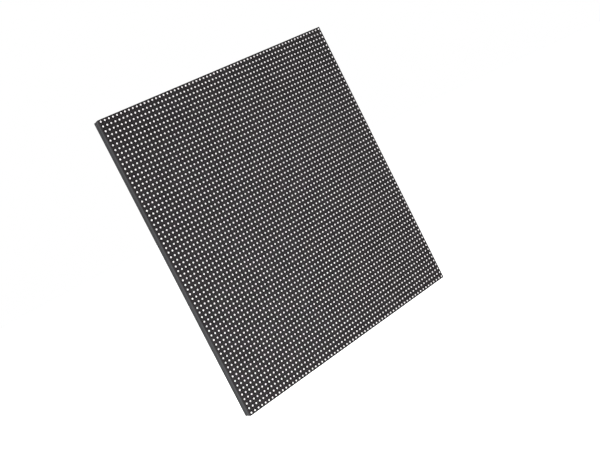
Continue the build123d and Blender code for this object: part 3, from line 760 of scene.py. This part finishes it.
def arrow_tree():
    """Printed arrows on the board that show which way the data runs."""
    sizes = {"Length": 9.0 * MM, "Head": 4.0 * MM, "Shaft": 1.6 * MM, "Thickness": PRINT_THICKNESS,
             "Finish": FINISHES["legend"]}
    tree, given, made = new_tree("printed_arrows", sizes)
    radius = add(tree, MATH, {0: given["Head"], 1: 0.5}, operation="MULTIPLY")
    half = add(tree, MATH, {0: given["Length"], 1: 0.5}, operation="MULTIPLY")
    point = add(tree, MATH, {0: half, 1: radius}, operation="SUBTRACT")
    head = bar(tree, radius, given["Thickness"], sides=3, y=0.0)
    head = add(tree, MOVE, {"Geometry": head, "Translation": add(tree, COMBINE, {"X": point})})
    shaft = block(tree, given["Length"], given["Thickness"], given["Shaft"], ORIGIN)
    back_off = add(tree, MATH, {0: radius, 1: -SHAFT_FROM_TIP}, operation="MULTIPLY")
    room = block(tree, given["Length"], CUTTER_DEPTH, given["Length"], add(tree, COMBINE, {"X": back_off}))
    shaft = add(tree, BOOLEAN, {"Mesh 2": [shaft, room]}, operation="INTERSECT", solver="EXACT")
    arrow = add(tree, BOOLEAN, {"Mesh 2": [head, shaft]}, operation="UNION", solver="EXACT")
    repeated(tree, made, given["Geometry"], arrow, UNTURNED, given["Finish"])
    return tree


def mark_tree():
    """Moulded marks beside the first lead of each chip: low buttons with a rounded edge."""
    sizes = {"Diameter": 0.7 * MM, "Height": MARK_HEIGHT, "Sides": 16, "Steps": 4,
             "Finish": FINISHES["base_plastic"]}
    tree, given, made = new_tree("pin_one_marks", sizes)
    radius = add(tree, MATH, {0: given["Diameter"], 1: 0.5}, operation="MULTIPLY")
    profile = [(0.0, 1.0), (0.4, 0.98), (1.0, 0.85)]
    mark = turned(tree, radius, given["Height"], given["Sides"], given["Steps"], profile)
    repeated(tree, made, given["Geometry"], mark, UNTURNED, given["Finish"])
    return tree


def middle_of(node):
    """Middle of a solid in the panel's plane."""
    low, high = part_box(node)
    return (low.x + high.x) / 2, (low.z + high.z) / 2


def island_middles(node):
    """Middles of the separate solids in a node, in the panel's plane."""
    mesh = frame["nodes"][node].data
    links = list(range(len(mesh.vertices)))
    keys = {}

    def root(item):
        while links[item] != item:
            links[item] = links[links[item]]
            item = links[item]
        return item

    for vertex in mesh.vertices:
        key = tuple(round(value, 6) for value in vertex.co)
        links[root(vertex.index)] = root(keys.setdefault(key, vertex.index))
    for edge in mesh.edges:
        links[root(edge.vertices[0])] = root(edge.vertices[1])
    islands = {}
    for vertex in mesh.vertices:
        islands.setdefault(root(vertex.index), []).append(vertex.co)
    middles = []
    for points in islands.values():
        across = [point.x for point in points]
        along = [point.z for point in points]
        middles.append(((min(across) + max(across)) / 2, (min(along) + max(along)) / 2))
    return sorted(middles)


def nodes_named(start):
    """Nodes whose names start with a word, in order."""
    return sorted(node for node in frame["nodes"] if node.startswith(start))


def at_depth(spots, y):
    """Places at one depth, from spots in the panel's plane."""
    return [(x, y, z) for x, z in spots]


# Depth levels, read from the solids
mask_low, mask_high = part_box("led_mask")
board_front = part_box("circuit_board")[0].y
board_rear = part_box("circuit_board")[1].y
mask_front = mask_low.y
print_level = board_rear + PRINT_THICKNESS / 2

# Front mask, with a window for each LED
pin_steps = (-MASK_PIN_FROM_MIDDLE, 0, MASK_PIN_FROM_MIDDLE)
pin_spots = [(x, z) for x in pin_steps for z in pin_steps if x or z]
mask_sizes = {"Side": mask_high.x - mask_low.x, "Front": mask_front, "Board": board_front,
              "Pin length": mask_high.y - mask_front - MASK_FACE / 2}
fit(grow("front_mask", mask_tree(), mask_sizes, at_depth(pin_spots, mask_high.y)), "mask_plastic", "led_mask")

# LED packages, the upper and the lower half of the grid
packages = package_tree()
quarter = PIXEL_PITCH * PIXELS / 4
upper = grow("led_packages_upper", packages, {"Centre": (0.0, board_front, quarter)})
lower = grow("led_packages_lower", packages, {"Centre": (0.0, board_front, -quarter)})
fit(upper, "led_resin", "led_columns")
fit(lower, "led_resin")

# Chip leads, printed outlines and marks
leads = lead_tree()
outlines = outline_tree()
marks = mark_tree()
CHIPS = {
    # name: width across the leads, length along them, leads per side, lead pitch, lead width, turn
    "column_driver": (3.9 * MM, 8.65 * MM, 12, FINE_PITCH, 0.25 * MM, UNTURNED),
    "row_driver": (3.9 * MM, 9.9 * MM, 8, WIDE_PITCH, 0.42 * MM, LEVEL_TURN),
    "signal_buffer": (7.5 * MM, 12.8 * MM, 10, WIDE_PITCH, 0.42 * MM, UNTURNED),
}
for name, (width, length, per_side, pitch, lead_width, chip_turn) in CHIPS.items():
    chips = nodes_named(name)
    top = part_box(chips[0])[1].y
    spots = [middle_of(chip) for chip in chips]
    sizes = {"Pitch": pitch, "Per side": per_side, "Body": width, "Shoulder": (top - board_rear) / 2,
             "Width": lead_width, "Turn": chip_turn}
    fit(grow(f"{name}_leads", leads, sizes, at_depth(spots, board_rear)), "pin_tin")
    across = width + 2 * LEAD_REACH + PRINT_ROOM
    along = length + PRINT_ROOM
    mark_across = width / 2 - MARK_FROM_EDGE
    mark_along = length / 2 - MARK_FROM_EDGE
    if chip_turn == LEVEL_TURN:
        across, along = along, across
        mark_across, mark_along = mark_along, mark_across
    outline_sizes = {"Width": across, "Length": along}
    fit(grow(f"{name}_outlines", outlines, outline_sizes, at_depth(spots, print_level)), "board_laminate")
    corners = [(x - mark_across, z + mark_along) for x, z in spots]
    fit(grow(f"{name}_pin_one_marks", marks, {}, at_depth(corners, top - MARK_HEIGHT / 2)), "chip_epoxy")

# Small ceramic parts with tinned ends
small = small_part_tree()
bypass = at_depth(island_middles("bypass_capacitors"), board_rear)
resistors = at_depth(island_middles("current_resistors"), board_rear)
fit(grow("ceramic_capacitors", small, {"Turn": LEVEL_TURN}, bypass), "capacitor_ceramic", "bypass_capacitors")
resistor_sizes = {"Height": 0.5 * MM, "Finish": FINISHES["resistor_ceramic"]}
fit(grow("chip_resistors", small, resistor_sizes, resistors), "resistor_ceramic", "current_resistors")

# Capacitor cans on their bases
cans = nodes_named("capacitor_can")
can_low, can_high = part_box(cans[0])
can_sizes = {"Height": can_high.y - can_low.y}
can_places = at_depth([middle_of(can) for can in cans], can_low.y)
fit(grow("capacitor_cans", can_tree(), can_sizes, can_places), "can_aluminium", *cans)

# Solder at the feet of the header pins and at both sides of the capacitor bases
joints = solder_tree()
data_feet = []
for node in ("data_in_pins", "data_out_pins"):
    low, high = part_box(node)
    for x, z in island_middles(node):
        foot = high.x - DATA_PAD / 2 if x > middle_of(node)[0] else low.x + DATA_PAD / 2
        data_feet.append((foot, z))
data_sizes = {"Length": DATA_PAD + DATA_SOLDER_PAST_PAD}
fit(grow("data_pin_solder", joints, data_sizes, at_depth(data_feet, board_rear)), "pin_tin")
power_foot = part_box("power_pins")[0].z + POWER_PAD / 2
power_feet = [(x, power_foot) for x, z in island_middles("power_pins")]
power_sizes = {"Length": POWER_PAD + POWER_SOLDER_PAST_PAD, "Width": 2.0 * MM, "Dome": 0.5 * MM,
               "Turn": LEVEL_TURN}
fit(grow("power_pin_solder", joints, power_sizes, at_depth(power_feet, board_rear)), "pin_tin")
base_low, base_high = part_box("capacitor_base_1")
tab = (base_high.x - base_low.x) / 2 + TAB_FROM_BASE
tabs = [(x + way * tab, z) for x, z in map(middle_of, nodes_named("capacitor_base")) for way in (-1, 1)]
tab_sizes = {"Length": 1.8 * MM, "Width": 1.3 * MM, "Dome": 0.24 * MM}
fit(grow("capacitor_solder", joints, tab_sizes, at_depth(tabs, board_rear)), "pin_tin")

# Printed arrows beside the data headers, from the input side to the output side
in_x = middle_of("data_in_shroud")[0] + ARROW_FROM_HEADER
out_x = middle_of("data_out_shroud")[0] - ARROW_FROM_HEADER
arrow_spots = [(x, ARROW_FROM_MIDDLE) for x in (in_x, out_x)]
fit(grow("data_arrows", arrow_tree(), {}, at_depth(arrow_spots, print_level)), "board_laminate")

# Screws and insert threads
screw_low, screw_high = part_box("frame_screws")
seat = screw_high.y - SCREW_HEAD_HEIGHT
screw_places = at_depth(island_middles("frame_screws"), seat)
fit(grow("cross_head_screws", screw_tree(), {"Length": seat - screw_low.y}, screw_places), "screw_steel",
    "frame_screws")
insert_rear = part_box("threaded_inserts")[1].y
insert_places = at_depth(island_middles("threaded_inserts"), insert_rear - THREAD_INSET)
fit(grow("insert_threads", thread_tree(), {}, insert_places), "insert_brass")

# Finishes of the solids that stay
slots = {row["node"]: row["material_slot"] for row in frame["record"]["subparts"]}
for node, solid in frame["nodes"].items():
    solid.data.materials.clear()
    solid.data.materials.append(FINISHES[slots[node]])

# Studio: a pale floor well under the panel, in a room that is white to the camera
FLOOR_SIDE = 24.0
FLOOR_DROP = 0.45
FLOOR_LIFT = 0.6
FLOOR_PATCH = 400.0
AMBIENT = 0.55
WHITE = (1.0, 1.0, 1.0, 1.0)


def seen(tree):
    """1 for what the camera sees, directly or in gloss and glass, and 0 for what lights the object."""
    rays = add(tree, "ShaderNodeLightPath").node.outputs
    direct = add(tree, MATH, {0: rays["Is Camera Ray"], 1: rays["Is Glossy Ray"]}, operation="MAXIMUM")
    return add(tree, MATH, {0: direct, 1: rays["Is Transmission Ray"]}, operation="MAXIMUM")


def pale_floor():
    """Matt painted floor: pale, and lifted to white where the camera sees it."""
    material, tree, shader, place = new_finish("matt_white_paint", roughness=0.9)
    tree.links.new(mottled(tree, place, FLOOR_PATCH, "#f2f2f1", "#efefee"), shader.inputs["Base Color"])
    shader.inputs["Emission Color"].default_value = WHITE
    lift = add(tree, MATH, {0: seen(tree), 1: FLOOR_LIFT}, operation="MULTIPLY")
    tree.links.new(lift, shader.inputs["Emission Strength"])
    return material


reach = FLOOR_SIDE / 2
floor_corners = [(-reach, -reach), (reach, -reach), (reach, reach), (-reach, reach)]
floor_mesh = bpy.data.meshes.new("floor")
floor_mesh.from_pydata([(x, y, -FLOOR_DROP) for x, y in floor_corners], [], [(0, 1, 2, 3)])
floor_mesh.materials.append(pale_floor())
floor = bpy.data.objects.new("floor", floor_mesh)
bpy.context.scene.collection.objects.link(floor)

world = bpy.data.worlds.new("studio")
bpy.context.scene.world = world
world.use_nodes = True
world_tree = world.node_tree
backdrop = world_tree.nodes["Background"]
strength = add(world_tree, RANGE, {"Value": seen(world_tree), "To Min": AMBIENT, "To Max": 1.0})
backdrop.inputs["Color"].default_value = WHITE
world_tree.links.new(strength, backdrop.inputs["Strength"])

LAMPS = {
    # name: place, size and power of a soft lamp that points at the panel
    "key": ((-1.1, -1.5, 1.4), 1.4, 13.0),
    "fill": ((1.6, -1.2, 0.5), 1.4, 2.0),
    "low": ((-0.34, -0.36, -0.3), 0.3, 2.0),
    "rear": ((0.9, 1.7, 1.2), 1.4, 24.0),
    "rear_fill": ((0.2, 1.9, -0.2), 1.4, 10.0),
}
for name, (place, size, power) in LAMPS.items():
    light = bpy.data.lights.new(name, "AREA")
    light.shape = "DISK"
    light.size = size
    light.energy = power
    lamp = bpy.data.objects.new(name, light)
    lamp.location = place
    lamp.rotation_euler = Vector(place).to_track_quat("Z", "Y").to_euler()
    lamp.visible_camera = False
    bpy.context.scene.collection.objects.link(lamp)

# Camera, where the photograph was taken from
lens = bpy.data.cameras.new("camera")
lens.sensor_fit = "HORIZONTAL"
lens.sensor_width = SENSOR_WIDTH
lens.lens = FOCAL_PIXELS * SENSOR_WIDTH / PHOTO_WIDTH
lens.clip_start = CLIP_START
lens.clip_end = CLIP_END
camera = bpy.data.objects.new("camera", lens)
right = CAMERA_RIGHT.normalized()
back = right.cross(CAMERA_UP).normalized()
up = back.cross(right)
camera_turn = Matrix((right, up, back)).transposed().to_4x4()
camera.matrix_world = Matrix.Translation(CAMERA_PLACE) @ camera_turn
bpy.context.scene.collection.objects.link(camera)
bpy.context.scene.camera = camera
bpy.context.scene.view_settings.view_transform = "Standard"
